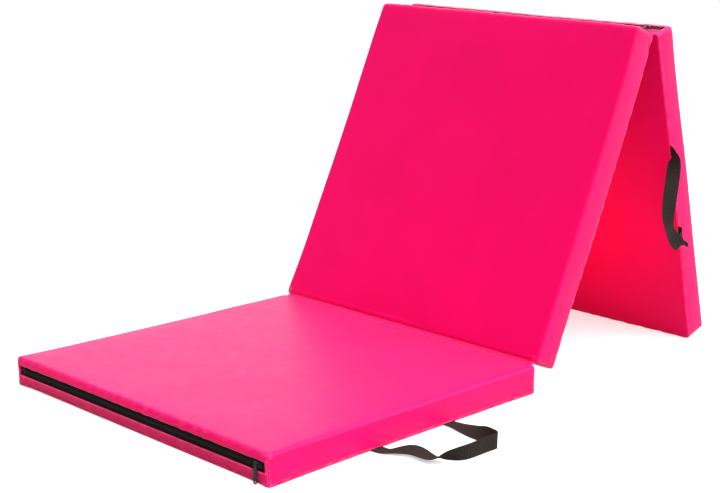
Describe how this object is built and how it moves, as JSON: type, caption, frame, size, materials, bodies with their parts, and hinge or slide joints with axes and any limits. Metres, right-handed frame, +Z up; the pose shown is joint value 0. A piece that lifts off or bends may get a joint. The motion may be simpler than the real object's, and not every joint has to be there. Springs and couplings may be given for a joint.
{
  "type": "folding gym mat",
  "caption": "Folding gym mat: covered foam panels hinged edge to edge, with zipped ends and webbing carry handles, standing half folded.",
  "frame": {"origin": "centre of the base panel's underside, on the floor", "axes": "+X towards the side with the carry handles, +Y from the base panel's zipped end to the rear panel, +Z up"},
  "size_m": [0.7329, 1.1359, 0.6043],
  "materials": {
    "foam": "open-cell foam, cream",
    "cover": "coated vinyl, soft sheen",
    "hinge": "coated vinyl, soft sheen",
    "tape": "woven tape",
    "coil": "nylon coil",
    "metal": "black enamelled zinc",
    "webbing": "ribbed polypropylene webbing"
  },
  "bodies": {
    "base_panel": {"foam_core_a": "foam", "cover_base_a": "cover", "cover_top_a": "cover", "end_strip_a": "cover", "zip_tape_upper_a": "tape", "zip_tape_lower_a": "tape", "zip_coil_upper_a": "coil", "zip_coil_lower_a": "coil", "zip_stops_a": "metal", "handle_tabs_a": "webbing", "hinge_cloth_front": "hinge"},
    "zip_slider_a": {"zip_slider_a": "metal"},
    "zip_pull_a": {"zip_pull_a": "metal"},
    "middle_panel": {"foam_core_b": "foam", "cover_base_b": "cover", "cover_top_b": "cover", "end_strip_b": "cover", "zip_tape_upper_b": "tape", "zip_tape_lower_b": "tape", "zip_coil_upper_b": "coil", "zip_coil_lower_b": "coil", "zip_stops_b": "metal", "hinge_cloth_rear": "hinge"},
    "zip_slider_b": {"zip_slider_b": "metal"},
    "zip_pull_b": {"zip_pull_b": "metal"},
    "rear_panel": {"foam_core_c": "foam", "cover_base_c": "cover", "cover_top_c": "cover", "end_strip_c": "cover", "zip_tape_upper_c": "tape", "zip_tape_lower_c": "tape", "zip_coil_upper_c": "coil", "zip_coil_lower_c": "coil", "zip_stops_c": "metal", "handle_tabs_c": "webbing"},
    "zip_slider_c": {"zip_slider_c": "metal"},
    "zip_pull_c": {"zip_pull_c": "metal"},
    "handle_a": {"handle_strap_a": "webbing"},
    "handle_c": {"handle_strap_c": "webbing"}
  },
  "joints": [
    {"name": "fold_front", "type": "hinge", "parent": "base_panel", "child": "middle_panel", "pos_m": [0, 0.3056, 0.0514], "axis": [1, 0, 0], "range_deg": [-65.5, 114.5], "deforming": ["hinge_cloth_front"]},
    {"name": "fold_rear", "type": "hinge", "parent": "middle_panel", "child": "rear_panel", "pos_m": [0, 0.60737, 0.58819], "axis": [1, 0, 0], "range_deg": [-40.7, 139.2], "deforming": ["hinge_cloth_rear"]},
    {"name": "zip_run_a", "type": "slide", "parent": "base_panel", "child": "zip_slider_a", "axis": [1, 0, 0], "range_m": [-0.54, 0]},
    {"name": "pull_swing_a", "type": "hinge", "parent": "zip_slider_a", "child": "zip_pull_a", "pos_m": [0.284, -0.3083, 0.029], "axis": [1, 0, 0], "range_deg": [-180, 0]},
    {"name": "zip_run_b", "type": "slide", "parent": "middle_panel", "child": "zip_slider_b", "axis": [1, 0, 0], "range_m": [-0.54, 0]},
    {"name": "pull_swing_b", "type": "hinge", "parent": "zip_slider_b", "child": "zip_pull_b", "pos_m": [0.285, 0.58056, 0.60074], "axis": [1, 0, 0], "range_deg": [0, 180]},
    {"name": "zip_run_c", "type": "slide", "parent": "rear_panel", "child": "zip_slider_c", "axis": [1, 0, 0], "range_m": [-0.54, 0]},
    {"name": "pull_swing_c", "type": "hinge", "parent": "zip_slider_c", "child": "zip_pull_c", "pos_m": [0.266, 0.63571, 0.59675], "axis": [1, 0, 0], "range_deg": [-180, 0]},
    {"name": "handle_swing_a", "type": "hinge", "parent": "base_panel", "child": "handle_a", "pos_m": [0.3064, 0, 0.00175], "axis": [0, 1, 0], "range_deg": [-60, 75]},
    {"name": "handle_swing_c", "type": "hinge", "parent": "rear_panel", "child": "handle_c", "pos_m": [0.3064, 0.69575, 0.29313], "axis": [0, 0.2796, -0.9601], "range_deg": [-60, 20]}
  ]
}
